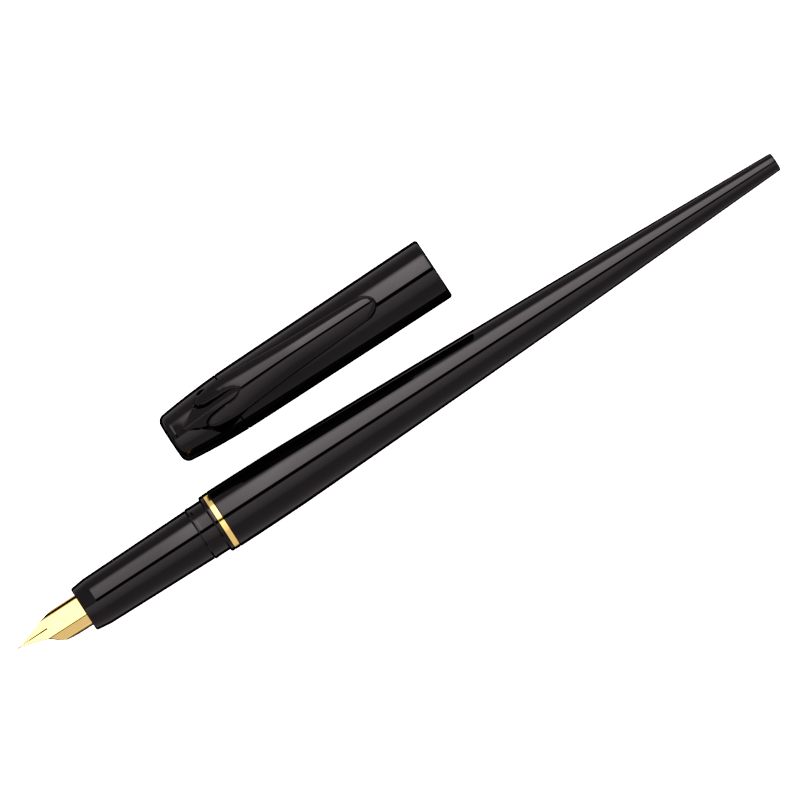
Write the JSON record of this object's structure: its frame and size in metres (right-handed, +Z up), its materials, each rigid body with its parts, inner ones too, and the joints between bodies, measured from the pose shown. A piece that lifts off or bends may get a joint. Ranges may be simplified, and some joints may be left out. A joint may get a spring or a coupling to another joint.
{
  "type": "desk fountain pen with cap",
  "caption": "Black desk fountain pen with a long tapering tail, folded gold nib and gold ring, and its clip cap lying beside it.",
  "frame": {"origin": "middle of the footprint of pen and cap together, on the table they lie on", "axes": "+X from the nib's tip towards the tail, +Y from the pen towards the cap, +Z up from the table"},
  "size_m": [0.1999, 0.036, 0.0198],
  "materials": {
    "gloss_black": "polished injection moulding",
    "gold_plate": "bright gold plating",
    "iridium": "ground hard tip",
    "feed_plastic": "fine satin moulding",
    "clear_plastic": "clear moulded plastic",
    "bright_steel": "bright drawn sleeve",
    "moulded_grey": "plain moulding",
    "seal_rubber": "dull moulded seal",
    "knob_black": "satin fluted moulding",
    "liner_black": "plain moulding"
  },
  "bodies": {
    "barrel": {"barrel": "gloss_black"},
    "ring": {"trim_ring": "gold_plate"},
    "section": {"grip_section": "gloss_black", "section_coupling": "gloss_black", "converter_nipple": "feed_plastic", "feed": "feed_plastic", "nib": "gold_plate", "nib_tipping": "iridium"},
    "converter": {"converter_socket": "feed_plastic", "converter_tube": "clear_plastic", "converter_band": "bright_steel", "rod_guide": "moulded_grey", "knob_retainer": "bright_steel"},
    "knob": {"converter_knob": "knob_black"},
    "piston": {"piston_seal": "seal_rubber", "piston_rod": "moulded_grey"},
    "cap": {"cap_tube": "gloss_black", "cap_crown": "gloss_black", "inner_cap": "liner_black"},
    "clip": {"pocket_clip": "gloss_black"}
  },
  "joints": [
    {"name": "section_travel", "type": "slide", "parent": "barrel", "child": "ring", "axis": [-0.9994, 0, 0.0344], "range_m": [0, 0.0075]},
    {"name": "section_turn", "type": "hinge", "parent": "ring", "child": "section", "pos_m": [-0.04697, -0.01082, 0.00766], "axis": [-0.9994, 0, 0.0344], "range_deg": [0, 1800]},
    {"name": "converter_pull", "type": "slide", "parent": "section", "child": "converter", "axis": [0.9994, 0, -0.0344], "range_m": [0, 0.006]},
    {"name": "knob_turn", "type": "hinge", "parent": "converter", "child": "knob", "pos_m": [-0.008, -0.01082, 0.00632], "axis": [-0.9994, 0, 0.0344], "range_deg": [0, 2880]},
    {"name": "piston_travel", "type": "slide", "parent": "converter", "child": "piston", "axis": [0.9994, 0, -0.0344], "range_m": [0, 0.02]},
    {"name": "cap_slide", "type": "slide", "parent": "barrel", "child": "cap", "axis": [1, 0.0079, 0], "range_m": [-0.072, 0]},
    {"name": "clip_flex", "type": "hinge", "parent": "cap", "child": "clip", "pos_m": [-0.04282, 0.01074, 0.01342], "axis": [0.007, -0.9925, 0.1219], "range_deg": [0, 2.5], "stiffness_Nm_per_rad": 0.5}
  ],
  "couplings": [
    {"joint": "section_turn", "follows": "section_travel", "rad_per_m": 4188.8},
    {"joint": "knob_turn", "follows": "piston_travel", "rad_per_m": 2513.3}
  ]
}
